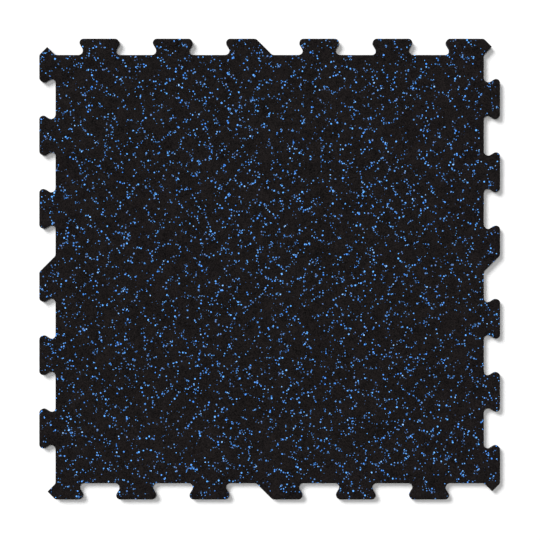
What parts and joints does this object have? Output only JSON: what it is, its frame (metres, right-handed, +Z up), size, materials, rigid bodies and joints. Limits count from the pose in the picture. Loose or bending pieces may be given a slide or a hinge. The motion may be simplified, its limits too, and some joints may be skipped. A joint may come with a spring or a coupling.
{
  "type": "interlocking rubber floor tile",
  "caption": "Square flat rubber floor tile with dovetail-like rounded tabs and sockets on all edges that lock into the next tile.",
  "frame": {"origin": "under the middle of the tile, on the floor", "axes": "+Z up out of the wear face, X and Y along the two edge directions"},
  "size_m": [0.609, 0.609, 0.008],
  "materials": {
    "rubber": "matt bonded crumb, black with blue flecks"
  },
  "bodies": {
    "root": {"rubber_tile": "rubber"}
  },
  "joints": []
}
